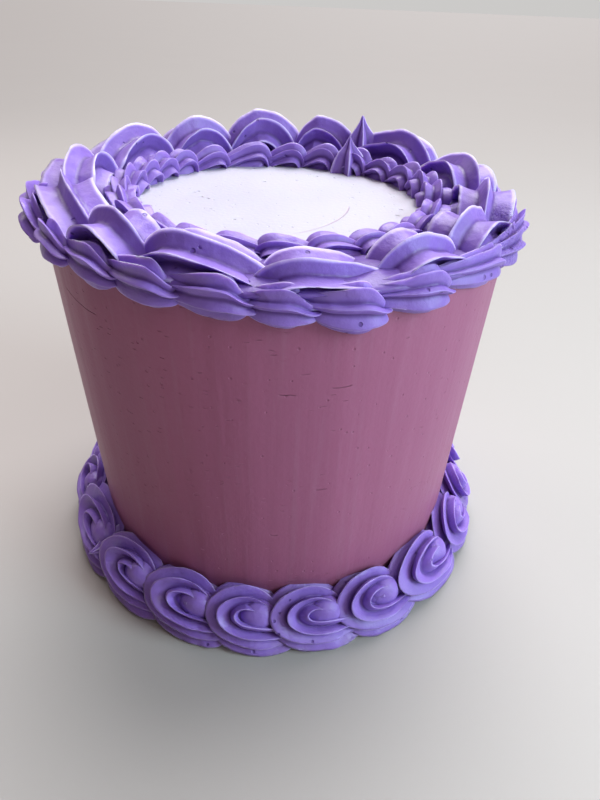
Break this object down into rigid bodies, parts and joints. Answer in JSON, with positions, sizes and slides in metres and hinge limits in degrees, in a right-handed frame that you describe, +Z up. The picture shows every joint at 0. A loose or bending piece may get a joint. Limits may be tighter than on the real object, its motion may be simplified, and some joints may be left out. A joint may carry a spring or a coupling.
{
  "type": "strawberry cake",
  "caption": "Tall round cake in smooth pale icing, edged round its top and foot with piped star shells and looped swirls, its top left open.",
  "frame": {"origin": "centre of the cake's flat bottom, on the surface that it stands on", "axes": "+Z up along the cake's axis; -Y towards the side that the picture shows"},
  "size_m": [0.2338, 0.2341, 0.2003],
  "materials": {
    "smooth_icing": "smooth buttercream, soft satin, with faint upright strokes of the smoothing knife",
    "piped_icing": "piped buttercream, soft satin, slightly translucent at its thin edges"
  },
  "bodies": {
    "root": {"iced_cake": "smooth_icing", "rim_shell_ring": "piped_icing", "inner_shell_ring": "piped_icing", "crown_shell_01": "piped_icing", "crown_shell_02": "piped_icing", "crown_shell_03": "piped_icing", "crown_shell_04": "piped_icing", "crown_shell_05": "piped_icing", "crown_shell_06": "piped_icing", "crown_shell_07": "piped_icing", "crown_shell_08": "piped_icing", "crown_shell_09": "piped_icing", "crown_shell_10": "piped_icing", "crown_shell_11": "piped_icing", "crown_shell_12": "piped_icing", "crown_shell_13": "piped_icing", "crown_shell_14": "piped_icing", "foot_swirl_01": "piped_icing", "foot_swirl_02": "piped_icing", "foot_swirl_03": "piped_icing", "foot_swirl_04": "piped_icing", "foot_swirl_05": "piped_icing", "foot_swirl_06": "piped_icing", "foot_swirl_07": "piped_icing", "foot_swirl_08": "piped_icing", "foot_swirl_09": "piped_icing", "foot_swirl_10": "piped_icing", "foot_swirl_11": "piped_icing", "foot_swirl_12": "piped_icing", "foot_swirl_13": "piped_icing", "foot_swirl_14": "piped_icing", "foot_swirl_15": "piped_icing", "foot_swirl_16": "piped_icing", "foot_swirl_17": "piped_icing", "foot_swirl_18": "piped_icing", "foot_swirl_19": "piped_icing", "foot_swirl_20": "piped_icing"}
  },
  "joints": []
}
